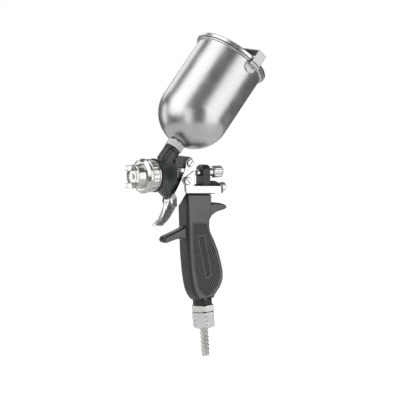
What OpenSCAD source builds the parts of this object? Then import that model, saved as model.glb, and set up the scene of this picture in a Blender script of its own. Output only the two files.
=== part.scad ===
// Gravity-feed spray gun: metal cup on top, two-finger trigger, sliding yoke, pistol grip, air inlet below.
// Millimetres. The spray axis is parallel to X, spraying towards -X. Z is up, Y is across the gun.
// The origin is the middle of the grip. The gun is symmetric about y = 0 apart from the lid hinge.

/* [Spray line] */
// height of the spray axis above the grip centre
spray_z = 77.3; // [70:0.1:85]
// front face of the air cap along X
cap_face_x = -90; // [-95:0.5:-85]
// radius of the air cap
cap_r = 13.7; // [12:0.1:15]
// radius of the retaining ring flange
ring_r = 19.8; // [18:0.1:21]
// length of an air horn in front of the cap face
horn_len = 9; // [5:0.5:12]

/* [Cup] */
// outside radius of the cup
cup_r = 41.3; // [35:0.1:50]
// length of the straight part of the cup
cup_len = 74.5; // [50:0.5:100]
// wall of the cup
cup_wall = 1.4; // [1:0.1:2]
// lean of the cup from vertical, in degrees
cup_tilt = 40; // [0:1:50]
// outside radius of the lid rim
lid_r = 44.6; // [40:0.1:55]
// sideways offset of the outlet from the cup axis
outlet_off = 2.3; // [0:0.1:4]

/* [Trigger and yoke] */
// half gap between the trigger cheeks
cheek_in = 10.8; // [10:0.1:12]
// thickness of a trigger cheek
cheek_t = 1.6; // [1:0.1:2.5]
// gap between cheek and yoke plate
plate_gap = 0.2; // [0.1:0.05:0.5]
// thickness of a yoke plate
plate_t = 1.8; // [1:0.1:2.5]
// radius of the trigger pivot pin
pivot_r = 2.5; // [2:0.1:3]
// radial clearance of a running fit
run = 0.05; // [0.02:0.01:0.1]
// radius of the needle
needle_r = 1.4; // [1:0.1:2]

/* [Handle] */
// half width of the handle
grip_w = 10.5; // [9:0.1:12]
// half width of the control block
block_w = 7.25; // [6:0.05:9]
// lean of the bottom fittings from vertical, in degrees
inlet_lean = 4.3; // [0:0.1:10]

/* [Hidden] */
$fn = 64;
eps = 0.01;
pivot = [-20.3, 89.9];
link = [-25.3, 70.2];
valve_z = 59.6;
block_x0 = 1.5;
block_x1 = 11.2;
plate_in = cheek_in + cheek_t + plate_gap;
plate_out = plate_in + plate_t;
cup_foot = [-32.2, 0, 114.1];
inlet_at = [5.1, 0, -70];
hinge_turn = 4;
hinge_rad = 47.3;
hinge_t = 115;
knuckle_r = 2.3;

function side(y, pts) = [for (p = pts) [p[0], y, p[1]]];
function unit(v) = v / norm(v);
function turn_out(v) = [v[1], -v[0]];
function inset(pts, d) = [for (i = [0 : len(pts) - 1])
  let (n = len(pts), a = unit(pts[(i + 1) % n] - pts[i]), b = unit(pts[i] - pts[(i + n - 1) % n]),
       m = unit(turn_out(a) + turn_out(b)))
  pts[i] - m * d];

module loft(rings, paired = true, hub = []) {
  n = len(rings[0]);
  m = len(rings);
  points = concat([for (r = rings) for (p = r) p], hub);
  walls = [for (i = [0 : m - 2]) for (j = [0 : n - 1]) let (k = (j + 1) % n) each
    [[i * n + j, i * n + k, (i + 1) * n + k], [i * n + j, (i + 1) * n + k, (i + 1) * n + j]]];
  e = (m - 1) * n;
  first = hub != [] ? [for (j = [0 : n - 1]) [m * n, (j + 1) % n, j]] : paired ? [for (j = [0 : n / 2 - 2]) each
    [[n - 2 - j, j + 1, j], [n - 1 - j, n - 2 - j, j]]] : [concat([0], [for (j = [n - 1 : -1 : 1]) j])];
  last = hub != [] ? [for (j = [0 : n - 1]) [m * n + 1, e + j, e + (j + 1) % n]] : paired ? [for (j = [0 : n / 2 - 2]) each
    [[e + j, e + j + 1, e + n - 2 - j], [e + j, e + n - 2 - j, e + n - 1 - j]]]
    : [[for (j = [0 : n - 1]) e + j]];
  polyhedron(points = points, faces = concat(walls, first, last));
}

// a slab with a side outline in X and Z, between two values of y
module slab(pts, y0, y1) {
  translate([0, y1, 0]) rotate([90, 0, 0]) linear_extrude(height = y1 - y0) polygon(pts);
}

// a solid of revolution about a line parallel to X; points are [x, radius]
module along_x(pts, z) {
  translate([0, 0, z]) rotate([0, 90, 0]) rotate_extrude() polygon([for (p = pts) [p[1], p[0]]]);
}

module rod_x(x0, x1, r, z) {
  translate([x0, 0, z]) rotate([0, 90, 0]) cylinder(h = x1 - x0, r = r);
}

module rod_y(p, y0, y1, r) {
  translate([p[0], y1, p[1]]) rotate([90, 0, 0]) cylinder(h = y1 - y0, r = r);
}

module on_cup() {
  translate(cup_foot) rotate([0, cup_tilt, 0]) children();
}

module on_neck() {
  on_cup() translate([outlet_off, 0, 0]) children();
}

module on_inlet() {
  translate(inlet_at) rotate([0, -inlet_lean, 0]) children();
}

module on_hinge() {
  on_cup() rotate([0, 0, hinge_turn]) children();
}

// ---- head ----
head_st = [
  [-60, 18.2, 18.2, 18.2], [-56, 17.0, 17.6, 17.4], [-52, 15.2, 17.2, 21.8], [-48, 13.8, 17.0, 25.6],
  [-45.3, 13.0, 17.2, 28.2], [-43, 12.2, 17.6, 25.6], [-40, 11.4, 18.2, 21.6], [-36, 10.6, 19.0, 17.0],
  [-33, 10.2, 19.6, 14.5]];

function head_ring(s) = [for (i = [0 : 39])
  let (a = -4.5 - i * 9, c = cos(a), q = sin(a), w = s[1], h = q > 0 ? s[2] : s[3])
  [s[0], w * c, spray_z + h * q]];

function top_z(x) = 54.2 - (x + 22) * 0.0542;

upper_arm = [[-38, 84.5], [-38, 96.2], [-33, 97.1], [-28, 97.5], [-23, 97.5], [-18, 96.6], [-14.6, 94.6],
  [-13.4, 91.5], [-13.6, 87.5], [-16, 84.2], [-20.5, 83.2]];
lower_arm = [[-40, 55.5], [-40, 66.5], [-36, 69], [-28.5, 69], [-26.5, 66.5], [-17, 63.4], [1.5, 62.0],
  [1.5, top_z(1.5)], [-22.5, top_z(-22.5)], [-27, 54.3], [-33, 54.4]];

module gun_head() {
  color([0.2, 0.23, 0.22]) difference() {
    union() {
      loft([for (s = head_st) head_ring(s)]);
      rod_x(-62.4, -60, 18.5, spray_z);
      rod_x(-72, -62.4, 15.4, spray_z);
      slab(upper_arm, -9.2, 9.2);
      slab(lower_arm, -block_w, block_w);
      rod_y(pivot, -cheek_in + run, cheek_in - run, 6);
      on_neck() translate([0, 0, -36]) cylinder(h = 23.4, r = 8.6);
      on_neck() for (i = [0 : 7]) rotate([0, 0, 22.5 + 45 * i])
        translate([7.1, -2, -27]) cube([2.2, 4, 14.4]);
    }
    rod_y(pivot, -20, 20, pivot_r);
    rod_x(-80, -57, 8, spray_z);
    rod_x(-58, -20, 2.4, spray_z);
    slab([[-36, 69.6], [-36, 85.4], [-29, 85.4], [-29, 69.6]], -20, 20);
    on_neck() translate([0, 0, -38]) cylinder(h = 40, r = 4);
    on_neck() translate([0, 0, -24]) cylinder(h = 30, r = 6.6);
    rod_x(-50, 3, 2.6, 58.6);
  }
}

module inlet_collar() {
  color([0.16, 0.18, 0.17]) on_neck() difference() {
    translate([0, 0, -12.6]) cylinder(h = 4.2, r = 9.5);
    translate([0, 0, -13]) cylinder(h = 5, r = 6.6);
  }
}

module fluid_nozzle() {
  color([0.78, 0.76, 0.7]) difference() {
    along_x([[-91, 0], [-91, 2.6], [-86.2, 2.9], [-84, 5.2], [-74, 5.8], [-74, 7.6], [-69.5, 7.6],
      [-69.5, 8], [-57, 8], [-57, 0]], spray_z);
    along_x([[-92, 0], [-92, 0.95], [-90.2, 0.95], [-88, 2.1], [-56, 2.1], [-56, 0]], spray_z);
  }
}

module baffle_ring() {
  color([0.7, 0.7, 0.68]) difference() {
    rod_x(-75.5, -72, 14.2, spray_z);
    rod_x(-76, -71, 7.6, spray_z);
    for (i = [0 : 11]) translate([-76, 0, spray_z]) rotate([30 * i, 0, 0]) translate([0, 0, 11.4])
      rotate([0, 90, 0]) cylinder(h = 5, r = 1.1);
  }
}

horn_half = [[cap_face_x + 3, 6.2], [cap_face_x + 3, 12.6], [cap_face_x - horn_len + 1, 12.2],
  [cap_face_x - horn_len, 11.4], [cap_face_x - horn_len, 9.6], [cap_face_x - 1, 6.2]];

module air_cap() {
  color([0.85, 0.84, 0.82]) difference() {
    union() {
      along_x([[cap_face_x, 0], [cap_face_x, cap_r - 0.6], [cap_face_x + 0.6, cap_r],
        [-81.2, cap_r + 0.2], [-79.2, cap_r + 0.4], [-78, cap_r + 0.4], [-78, 15.4], [-76, 15.4],
        [-76, 0]], spray_z);
      translate([0, 0, spray_z]) slab(horn_half, -3.4, 3.4);
      translate([0, 0, spray_z]) mirror([0, 0, 1]) slab(horn_half, -3.4, 3.4);
    }
    rod_x(cap_face_x - 1, -80, 3.1, spray_z);
    along_x([[-86.5, 0], [-86.5, 8], [-84, 12], [-75, 12.6], [-75, 0]], spray_z);
    difference() {
      rod_x(cap_face_x - eps, cap_face_x + 2.6, 11.9, spray_z);
      rod_x(cap_face_x - 1, cap_face_x + 3, 7.6, spray_z);
      for (s = [0, 1]) mirror([0, s, 0])
        translate([cap_face_x - 2, -40, spray_z - 20]) cube([6, 37.6, 40]);
    }
    for (s = [-1, 1]) for (t = [-1, 1])
      translate([cap_face_x - 0.5, t * 4.5 - 0.9, spray_z + s * 9.2 - 3]) cube([3.2, 1.8, 6]);
    for (s = [-1, 1]) translate([cap_face_x - 5.5, 0, spray_z + s * 4])
      rotate([0, s * -25, 0]) cylinder(h = 12, r = 0.8, center = true);
    for (a = [-40 : 20 : 40]) translate([cap_face_x - 1, 0, spray_z]) rotate([a, 0, 0])
      for (s = [-1, 1]) translate([0, s * 5.2, 0]) rotate([0, 90, 0]) cylinder(h = 5, r = 0.45);
  }
}

module retaining_ring() {
  color([0.8, 0.8, 0.78]) difference() {
    along_x([[-80, 0], [-80, 16.4], [-77.6, ring_r], [-75.6, ring_r], [-74.6, 18.2], [-73.6, 18.2],
      [-73, 18.9], [-65.4, 18.5], [-64.6, 17.9], [-62.5, 17.9], [-62.5, 0]], spray_z);
    rod_x(-81, -60, cap_r + 0.4 + run, spray_z);
    rod_x(-78.05, -60, 15.4 + run, spray_z);
    for (i = [0 : 17]) translate([-72.6, 0, spray_z]) rotate([20 * i, 0, 0])
      translate([0, 0, 20.6]) rotate([0, 90, 0]) cylinder(h = 6.4, r = 2.4);
  }
}

module packing_nut() {
  color([0.75, 0.74, 0.7]) difference() {
    union() {
      rod_x(-36, -29.6, 6.4, spray_z);
      for (i = [0 : 15]) translate([-35.4, 0, spray_z]) rotate([22.5 * i, 0, 0])
        translate([0, 0, 6.3]) rotate([0, 90, 0]) cylinder(h = 5.2, r = 0.9);
    }
    rod_x(-40, -20, needle_r + 0.06, spray_z);
  }
}

// ---- needle line ----
module needle() {
  color([0.8, 0.8, 0.8])
    along_x([[-91.2, 0], [-91.2, 0.6], [-90.2, 0.86], [-88.2, needle_r], [8.6, needle_r], [8.6, 3],
      [9.4, 3], [9.4, needle_r], [22, needle_r], [22, 0]], spray_z);
}

module needle_collar() {
  color([0.78, 0.66, 0.4]) difference() {
    along_x([[-13.8, 0], [-13.8, 4.5], [-10.6, 4.5], [-10.6, 0]], spray_z);
    rod_x(-20, 0, needle_r, spray_z);
  }
}

module needle_guide() {
  color([0.86, 0.86, 0.85]) difference() {
    along_x([[-4.8, 0], [-4.8, 1.8], [-4.3, 2.8], [-3.3, 3.5], [-1.8, 3.8], [6, 3.8], [6, 0]], spray_z);
    rod_x(-6, 8, needle_r + 0.06, spray_z);
  }
}

module coil(x0, x1, r, wire, turns, z) {
  steps = 20;
  n = turns * steps;
  loft([for (i = [0 : n]) let (a = 360 * i / steps, x = x0 + (x1 - x0) * i / n)
    [for (j = [0 : 5]) let (b = 60 * j)
      [x + wire * sin(b), (r + wire * cos(b)) * cos(a), z + (r + wire * cos(b)) * sin(a)]]]);
}

module needle_spring() {
  color([0.6, 0.6, 0.62]) coil(9.95, 20.1, 2.68, 0.36, 6, spray_z);
}

module spring_cap() {
  color([0.84, 0.84, 0.83]) difference() {
    union() {
      rod_x(block_x1, 13.2, 5.6, spray_z);
      rod_x(13.2, 21, 4.8, spray_z);
    }
    rod_x(10, 20.6, 3.3, spray_z);
    rod_x(20, 22, needle_r + 0.06, spray_z);
  }
}

module needle_knob() {
  color([0.86, 0.86, 0.85]) difference() {
    along_x([[17.6, 0], [17.6, 6.2], [18.4, 6.8], [29.4, 6.8], [30.4, 6.1], [30.4, 0]], spray_z);
    rod_x(17, 21.3, 4.8 + run, spray_z);
    rod_x(21, 28.4, 3.3, spray_z);
    for (i = [0 : 11]) translate([19.6, 0, spray_z]) rotate([30 * i, 0, 0])
      translate([0, 0, 7.4]) rotate([0, 90, 0]) cylinder(h = 9, r = 1.1);
    translate([29.6, -8, spray_z - 0.6]) cube([2, 16, 1.2]);
  }
}

block_side = [[block_x0, top_z(block_x0)], [block_x1, top_z(block_x1)], [block_x1, 84.6], [10.0, 86.0],
  [4.0, 86.3], [block_x0, 84.4]];

module control_block() {
  color([0.13, 0.14, 0.14]) difference() {
    intersection() {
      slab(block_side, -block_w, block_w);
      rotate([90, 0, 90]) linear_extrude(height = 20) polygon([[-block_w, 40], [block_w, 40],
        [block_w, 81.6], [4.2, 86.4], [-4.2, 86.4], [-block_w, 81.6]]);
    }
    rod_x(0, 6, 3.8, spray_z);
    rod_x(5.9, 12, 3.4, spray_z);
    rod_x(0, 3, 2.4, valve_z);
    rod_x(2.2, 12, 5.5, valve_z);
    translate([6, 0, 50]) cylinder(h = 8, r = 2.2);
  }
}

// ---- air valve line ----
module valve_seat() {
  color([0.75, 0.7, 0.5]) difference() {
    rod_x(2.2, 3.5, 5.5, valve_z);
    rod_x(2, 4, 2.4, valve_z);
  }
}

module valve_disc() {
  color([0.3, 0.3, 0.3]) difference() {
    rod_x(3.6, 6, 4.4, valve_z);
    rod_x(3, 7, 1.8, valve_z);
  }
}

module valve_stem() {
  color([0.8, 0.8, 0.8]) rod_x(2.6, 34, 1.8, valve_z);
}

module valve_spring() {
  color([0.6, 0.6, 0.62]) coil(6.6, 21.4, 3.9, 0.45, 6, valve_z);
}

module valve_bush() {
  color([0.12, 0.13, 0.13]) difference() {
    along_x([[block_x1, 0], [block_x1, 6.6], [12.4, 7.6], [21, 7.6], [25.6, 6], [25.6, 0]], valve_z);
    rod_x(10, 22, 5.5, valve_z);
    rod_x(10, 30, 1.8 + run, valve_z);
    for (i = [0 : 5]) translate([19, 0, valve_z]) rotate([60 * i, 0, 0])
      translate([0, 0, 9.2]) rotate([0, 90, 0]) cylinder(h = 8, r = 2.2);
  }
}

module valve_knob() {
  color([0.86, 0.86, 0.85]) difference() {
    along_x([[28.5, 0], [28.5, 4.6], [29.2, 5.2], [34.6, 5.2], [35.6, 4.3], [35.6, 0]], valve_z);
    rod_x(28, 34.5, 1.8 + run, valve_z);
    for (i = [0 : 9]) translate([30, 0, valve_z]) rotate([36 * i, 0, 0])
      translate([0, 0, 5.7]) rotate([0, 90, 0]) cylinder(h = 8, r = 0.8);
  }
}

plate_side = [[-27.6, 65], [-27, 59], [-26.3, 56.2], [21, 53.7], [21, 62], [-15.7, 64], [-14.6, 79.5],
  [-15.6, 81], [-27.7, 74.6]];

module yoke() {
  color([0.82, 0.83, 0.84]) difference() {
    union() {
      for (s = [0, 1]) mirror([0, s, 0]) {
        slab(plate_side, -plate_out, -plate_in);
        rod_y(link, -plate_out, -plate_in, 5);
        intersection() {
          translate([0, 0, 53.7]) linear_extrude(height = 8.3) polygon([[20.9, -plate_out],
            [21.6, -plate_out], [27.9, -8.6], [28.1, -7.8], [28.1, eps], [26.3, eps], [26.3, -8],
            [20.9, -plate_in]]);
          slab([[20, 53.7], [30, 53.3], [30, 61.5], [20, 62.05]], -20, 1);
        }
      }
      translate([-17.6, -plate_in - eps, 66]) cube([2.6, 2 * plate_in + 2 * eps, 12]);
    }
    for (s = [0, 1]) mirror([0, s, 0]) rod_y(link, -20, -10, 1.6);
    rod_x(20, 30, 1.8, valve_z);
    rod_x(-20, -10, 2.4, spray_z);
    translate([-20, -2.4, spray_z]) cube([6, 4.8, 4]);
  }
}

module slotted(p, y0, r, h, a) {
  difference() {
    union() {
      rod_y(p, y0 - h + 0.5, y0, r);
      rod_y(p, y0 - h, y0 - h + 0.51, r - 0.5);
    }
    translate([p[0], y0 - h, p[1]]) rotate([0, a, 0]) translate([-r - 1, -1, -0.45])
      cube([2 * r + 2, 1.8, 0.9]);
  }
}

module link_screw(a) {
  color([0.8, 0.8, 0.8]) {
    slotted(link, -plate_out, 4.3, 1.7, a);
    rod_y(link, -plate_out - eps, -cheek_in - 0.05, 1.6);
  }
}

module link_screw_left() {
  link_screw(50);
}

module link_screw_right() {
  mirror([0, 1, 0]) link_screw(20);
}

// ---- trigger ----
cheek_side = [[-25.2, 88.6], [-27.2, 83.1], [-31, 74.1], [-36.1, 65.1], [-41.4, 58], [-44.3, 53],
  [-45, 48.5], [-43.6, 44.6], [-41, 42.4], [-38.4, 42.6], [-35.2, 45.4], [-25.6, 56.7], [-20.6, 60],
  [-19.6, 64], [-19.4, 77.5], [-15.6, 80.4], [-15.1, 89]];
pull_st = [[48.3, -39.6, 12.4, 6], [45.8, -39.4, 11.6, 7.4], [43, -39.2, 10.4, 8],
  [39.5, -39.4, 9.6, 7.9], [36, -41.8, 9.2, 7.6], [32, -45, 9.1, 7.2], [28, -48.5, 9, 7.0],
  [24.5, -51.9, 9, 7.2], [22, -54.2, 8.8, 7.4], [21.2, -54.9, 8.2, 6.6]];
pull_t = 2.2;

function pull_ring(s) = concat(
  [for (a = [-90 : 10 : 90]) [s[1] - s[3] * cos(a), s[2] * sin(a), s[0]]],
  [for (a = [90 : -10 : -90]) [s[1] - (s[3] - pull_t) * cos(a), (s[2] - pull_t) * sin(a), s[0]]]);

module trigger() {
  color([0.86, 0.86, 0.87]) difference() {
    union() {
      for (s = [0, 1]) mirror([0, s, 0]) {
        slab(cheek_side, -cheek_in - cheek_t, -cheek_in);
        rod_y(pivot, -cheek_in - cheek_t, -cheek_in, 5.2);
      }
      loft([for (i = [len(pull_st) - 1 : -1 : 0]) pull_ring(pull_st[i])]);
    }
    rod_y(pivot, -20, 20, pivot_r + run);
    translate([pivot[0], 0, pivot[1]]) rotate([0, 14.24, 0]) for (s = [-1, 1])
      translate([0, s * (cheek_in + cheek_t / 2), 0]) {
        for (d = [19.45, 20.65]) translate([0, 0, -d]) rotate([90, 0, 0])
          cylinder(h = 4, r = 1.75, center = true);
        translate([-1.75, -2, -20.65]) cube([3.5, 4, 1.2]);
      }
  }
}

module pivot_pin() {
  color([0.82, 0.82, 0.82]) {
    slotted(pivot, -cheek_in - cheek_t - 0.1, 4, 1.7, -50);
    rod_y(pivot, -cheek_in - cheek_t - 0.11, cheek_in + cheek_t + 1.4, pivot_r);
  }
}

module pivot_nut() {
  color([0.8, 0.8, 0.8]) difference() {
    translate([pivot[0], cheek_in + cheek_t + 2.3, pivot[1]]) rotate([90, 0, 0])
      cylinder(h = 2.2, r = 4.4, $fn = 6);
    rod_y(pivot, 0, cheek_in + cheek_t + 1.4, pivot_r);
  }
}

// ---- handle ----
grip_side = [[-6, -68.4], [15.9, -66.8], [16.6, -64], [20, -60], [24, -55], [27, -49.5], [28.3, -43],
  [28.2, -37], [26.5, -29], [24.5, -22], [21.8, -13], [19, -6.5], [15.6, 1], [12.6, 6], [10.4, 10.5],
  [9.2, 16], [9.2, 22], [10.4, 30], [11.3, 38], [11.3, 46], [11.2, top_z(11.2)], [-22, top_z(-22)],
  [-22, 45], [-21.8, 30], [-21.6, 15], [-21.2, 0], [-20.4, -15], [-18.6, -33], [-16.6, -46],
  [-13.8, -57], [-10.6, -63]];
rear_spur = [[1, 42.3], [1, 12], [8.6, 12], [9.2, 16.5], [10.8, 22.5], [14.5, 27.8], [19.5, 30.8], [25.5, 32.6],
  [31.5, 33.6], [34.8, 35], [35.6, 36.8], [33.4, 39.4], [28, 41.2], [22, 42.05], [14.5, 42.3]];
front_spur = [[-11, 11.5], [-11, 20], [-21, 19.5], [-24, 16.4], [-30, 14], [-40, 10.6], [-46.5, 8.6],
  [-50, 7.2], [-51.8, 3.5], [-50.5, 0.8], [-47.5, -0.2], [-41, 1.4], [-33, 3.4], [-26, 3.6], [-21.5, 0],
  [-19.5, -5], [-11, -5]];

function fade(z) = z > 45 ? 0.3 : z < 5 ? 1 : 1 - 0.7 * (z - 5) / 40;
function inset_grip(pts, d) = let (q = inset(pts, 1)) [for (i = [0 : len(pts) - 1])
  pts[i] + (q[i] - pts[i]) * d * fade(pts[i][1])];

module grip_loft() {
  steps = [[-grip_w, 3.8], [-grip_w + 0.7, 1.6], [-grip_w + 2, 0.5], [-grip_w + 4, 0],
    [grip_w - 4, 0], [grip_w - 2, 0.5], [grip_w - 0.7, 1.6], [grip_w, 3.8]];
  loft([for (s = steps) side(s[0], inset_grip(grip_side, s[1]))],
    hub = [[-6, -grip_w, 5], [-6, grip_w, 5]]);
}

module spur_loft(pts, w) {
  steps = [[-w, 1.8], [-w + 0.6, 0.8], [-w + 1.9, 0.2], [-w + 3.4, 0], [w - 3.4, 0], [w - 1.9, 0.2],
    [w - 0.6, 0.8], [w, 1.8]];
  loft([for (s = steps) side(s[0], inset(pts, s[1]))], false);
}

panel_side = [[1, -63.2], [4, -64.4], [11.6, -61.6], [18.4, -54], [22.6, -46], [23.4, -40], [22.2, -29],
  [16.2, -10], [11.6, 1], [7.9, 9.2], [4.3, 20.6], [-15.8, 22], [-15.0, -8.2], [-12.7, -33],
  [-8.2, -54]];
badge_side = [[2.8, -44], [11.4, -40.4], [1.0, 7.0], [-9.3, 6.2]];

module air_line(r, z0, z1) {
  translate([4.6, 0, -64]) rotate([0, -2.61, 0]) translate([0, 0, z0]) cylinder(h = z1 - z0, r = r);
}

module handle() {
  color([0.3, 0.31, 0.31]) difference() {
    union() {
      grip_loft();
      spur_loft(rear_spur, 7.2);
      spur_loft(front_spur, 6.2);
    }
    on_inlet() translate([0, 0, -1]) cylinder(h = 12, r = 8);
    air_line(4, 3, 108);
    translate([-0.4, 0, 42]) rotate([0, 30, 0]) cylinder(h = 16, r = 2.2);
    slab(panel_side, -grip_w - 1, -grip_w + 0.3);
    slab(panel_side, grip_w - 0.3, grip_w + 1);
  }
}

module panel() {
  color([0.24, 0.25, 0.25]) union() {
    difference() {
      slab(panel_side, -grip_w - 0.45, -grip_w + 0.3);
      slab(inset(panel_side, 1.1), -grip_w - 1, -grip_w - 0.05);
    }
    slab(badge_side, -grip_w - 0.4, -grip_w);
  }
}

module grip_panel_left() {
  panel();
}

module grip_panel_right() {
  mirror([0, 1, 0]) panel();
}

module air_tube() {
  color([0.7, 0.7, 0.68]) difference() {
    air_line(4, 12, 108);
    air_line(3.2, 0, 120);
  }
}

// ---- air inlet ----
module handle_collar() {
  color([0.1, 0.11, 0.11]) on_inlet() difference() {
    union() {
      translate([0, 0, -3.6]) cylinder(h = 6, r = 11);
      translate([0, 0, -4.4]) cylinder(h = 1, r = 10.2);
    }
    translate([0, 0, -5]) cylinder(h = 10, r = 8);
  }
}

module hex(z0, z1, r) {
  translate([0, 0, z0]) rotate([0, 0, 3]) cylinder(h = z1 - z0, r = r, $fn = 6);
}

module inlet_nut() {
  color([0.8, 0.8, 0.79]) on_inlet() difference() {
    union() {
      intersection() {
        hex(-11.6, -4.4, 13.6);
        rotate_extrude() polygon([[0, -11.6], [12, -11.6], [13.7, -10.6], [13.7, -5.4], [12, -4.4],
          [0, -4.4]]);
      }
      translate([0, 0, -4.5]) cylinder(h = 13, r = 8);
      translate([0, 0, -20]) cylinder(h = 9, r = 5);
    }
    translate([0, 0, -21]) cylinder(h = 31, r = 3.4);
  }
}

module inlet_seal() {
  color([0.15, 0.15, 0.15]) on_inlet() difference() {
    translate([0, 0, -12.4]) cylinder(h = 0.8, r = 10);
    translate([0, 0, -13]) cylinder(h = 2, r = 5);
  }
}

module swivel_body() {
  color([0.8, 0.8, 0.79]) on_inlet() difference() {
    intersection() {
      hex(-30.9, -12.45, 13.7);
      rotate_extrude() polygon([[0, -30.9], [9.6, -30.9], [11.6, -30.2], [13, -28.6], [14.5, -27.3],
        [14.5, -14.2], [12.4, -12.45], [0, -12.45]]);
    }
    translate([0, 0, -22]) cylinder(h = 12, r = 5 + run);
    translate([0, 0, -32]) cylinder(h = 12, r = 3);
    for (i = [0 : 5]) for (z = [-26, -21.5, -16.5]) rotate([0, 0, 10 + 60 * i])
      translate([12, 0, z]) rotate([0, 90, 0]) cylinder(h = 2, r = 0.9);
  }
}

module hose_tail() {
  pitch = 4.7;
  color([0.8, 0.79, 0.75]) on_inlet() difference() {
    rotate_extrude() polygon(concat([[0, -30.9], [4.2, -30.9]],
      [for (i = [0 : 5]) let (z = -31.4 - pitch * i) each
        [[3.7, z], [4.95, z - 0.5], [4.95, z - 1.3], [3.7, z - pitch + 0.4]]],
      [[4.2, -59.4], [4.2, -63.4], [0, -63.4]]));
    translate([0, 0, -64]) cylinder(h = 34, r = 2.6);
  }
}

// ---- cup ----
rim_z = cup_r + cup_len + 0.3;

module cup_shell() {
  color([0.72, 0.72, 0.72]) on_cup() difference() {
    union() {
      translate([0, 0, cup_r]) sphere(r = cup_r);
      translate([0, 0, cup_r]) cylinder(h = rim_z - cup_r, r = cup_r);
      rotate_extrude() polygon([[cup_r - 1, rim_z - 1], [cup_r, rim_z], [cup_r + 1.6, rim_z],
        [cup_r + 2.1, rim_z + 0.6], [cup_r + 2.1, rim_z + 1.8], [cup_r + 1.6, rim_z + 2.3],
        [cup_r - 1, rim_z + 2.3]]);
    }
    translate([0, 0, cup_r]) sphere(r = cup_r - cup_wall);
    translate([0, 0, cup_r]) cylinder(h = 120, r = cup_r - cup_wall);
    translate([outlet_off, 0, -5]) cylinder(h = 20, r = 6.5);
  }
}

module cup_outlet() {
  color([0.75, 0.75, 0.74]) on_neck() difference() {
    translate([0, 0, -11.5]) cylinder(h = 13.6, r = 6.5);
    translate([0, 0, -12]) cylinder(h = 15, r = 5);
  }
}

module cup_nut() {
  color([0.78, 0.78, 0.78]) on_neck() difference() {
    translate([0, 0, -8.3]) rotate([0, 0, 12]) cylinder(h = 7.7, r = 10.8, $fn = 6);
    translate([0, 0, -9]) cylinder(h = 10, r = 6.5 + run);
  }
}

module paint_filter() {
  color([0.85, 0.85, 0.8]) on_neck() difference() {
    union() {
      translate([0, 0, -10.5]) cylinder(h = 12, r = 4.3);
      translate([0, 0, 0.6]) cylinder(h = 1.5, r = 5);
    }
    translate([0, 0, -9.7]) cylinder(h = 15, r = 3.6);
    for (z = [-8 : 2.4 : -1]) for (a = [0 : 45 : 135]) translate([0, 0, z]) rotate([90, 0, a])
      cylinder(h = 12, r = 0.75, center = true);
  }
}

module cup_lid() {
  color([0.8, 0.8, 0.8]) on_cup() rotate_extrude() polygon([[0, rim_z + 15.1], [17, rim_z + 15.1],
    [19, rim_z + 14.5], [28, rim_z + 11.3], [36, rim_z + 8.5], [40.6, rim_z + 7], [lid_r - 0.8, rim_z + 6.9],
    [lid_r, rim_z + 6.1], [lid_r, rim_z + 2.4], [lid_r - 1, rim_z + 2.4], [lid_r - 1.1, rim_z + 5.6],
    [40.4, rim_z + 5.7], [35.6, rim_z + 7.2], [27.6, rim_z + 10], [18.8, rim_z + 13.2],
    [16.8, rim_z + 13.9], [0, rim_z + 13.9]]);
}

module lid_gasket() {
  color([0.2, 0.2, 0.2]) on_cup() translate([0, 0, rim_z + 2.35]) difference() {
    cylinder(h = 3.2, r = lid_r - 1.2);
    translate([0, 0, -1]) cylinder(h = 6, r = cup_r - cup_wall);
  }
}

module vent_plug() {
  color([0.25, 0.25, 0.25]) on_cup() translate([0, 0, rim_z + 15.1]) rotate_extrude()
    polygon([[0, 0], [3.2, 0], [3.2, 1.6], [2.4, 2.4], [0, 2.4]]);
}

strap_z = rim_z + 15.1;

module knuckle(x0, x1) {
  translate([x0, -hinge_rad, hinge_t]) rotate([0, 90, 0]) cylinder(h = x1 - x0, r = knuckle_r);
}

module lid_strap() {
  color([0.86, 0.86, 0.86]) on_hinge() difference() {
    union() {
      translate([-6.5, -48.2, strap_z]) cube([13, 38.2, 1.2]);
      translate([-6.5, -48.2, rim_z + 1.6]) cube([13, 1.2, strap_z - rim_z - 1.6 + eps]);
      for (s = [-1, 1]) {
        translate([s > 0 ? 3 : -6.5, -48.2, hinge_t]) cube([3.5, 1.2, 5]);
        knuckle(s > 0 ? 3 : -6.5, s > 0 ? 6.5 : -3);
      }
    }
    translate([-10, -hinge_rad, hinge_t]) rotate([0, 90, 0]) cylinder(h = 20, r = 1.1 + run);
  }
}

module hinge_leaf() {
  color([0.84, 0.84, 0.84]) on_hinge() difference() {
    union() {
      intersection() {
        translate([-7, -43.2, hinge_t - 9.5]) cube([14, 4, 9.5]);
        translate([0, 0, hinge_t - 1.5]) rotate([90, 0, 0]) cylinder(h = 60, r = 8);
      }
      translate([-2.8, -47, hinge_t - 1.4]) cube([5.6, 6, 2.2]);
      knuckle(-2.9, 2.9);
    }
    translate([0, 0, 60]) cylinder(h = 80, r = cup_r);
    translate([-10, -hinge_rad, hinge_t]) rotate([0, 90, 0]) cylinder(h = 20, r = 1.1);
  }
}

module hinge_pin() {
  color([0.7, 0.7, 0.7]) on_hinge() translate([-7, -hinge_rad, hinge_t]) rotate([0, 90, 0])
    cylinder(h = 14, r = 1.1);
}

gun_head();
inlet_collar();
fluid_nozzle();
baffle_ring();
air_cap();
retaining_ring();
packing_nut();
needle();
needle_collar();
needle_guide();
needle_spring();
spring_cap();
needle_knob();
control_block();
valve_seat();
valve_stem();
valve_disc();
valve_spring();
valve_bush();
valve_knob();
yoke();
link_screw_left();
link_screw_right();
trigger();
pivot_pin();
pivot_nut();
handle();
grip_panel_left();
grip_panel_right();
air_tube();
handle_collar();
inlet_nut();
inlet_seal();
swivel_body();
hose_tail();
cup_shell();
cup_outlet();
cup_nut();
paint_filter();
cup_lid();
lid_gasket();
vent_plug();
lid_strap();
hinge_leaf();
hinge_pin();
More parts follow.
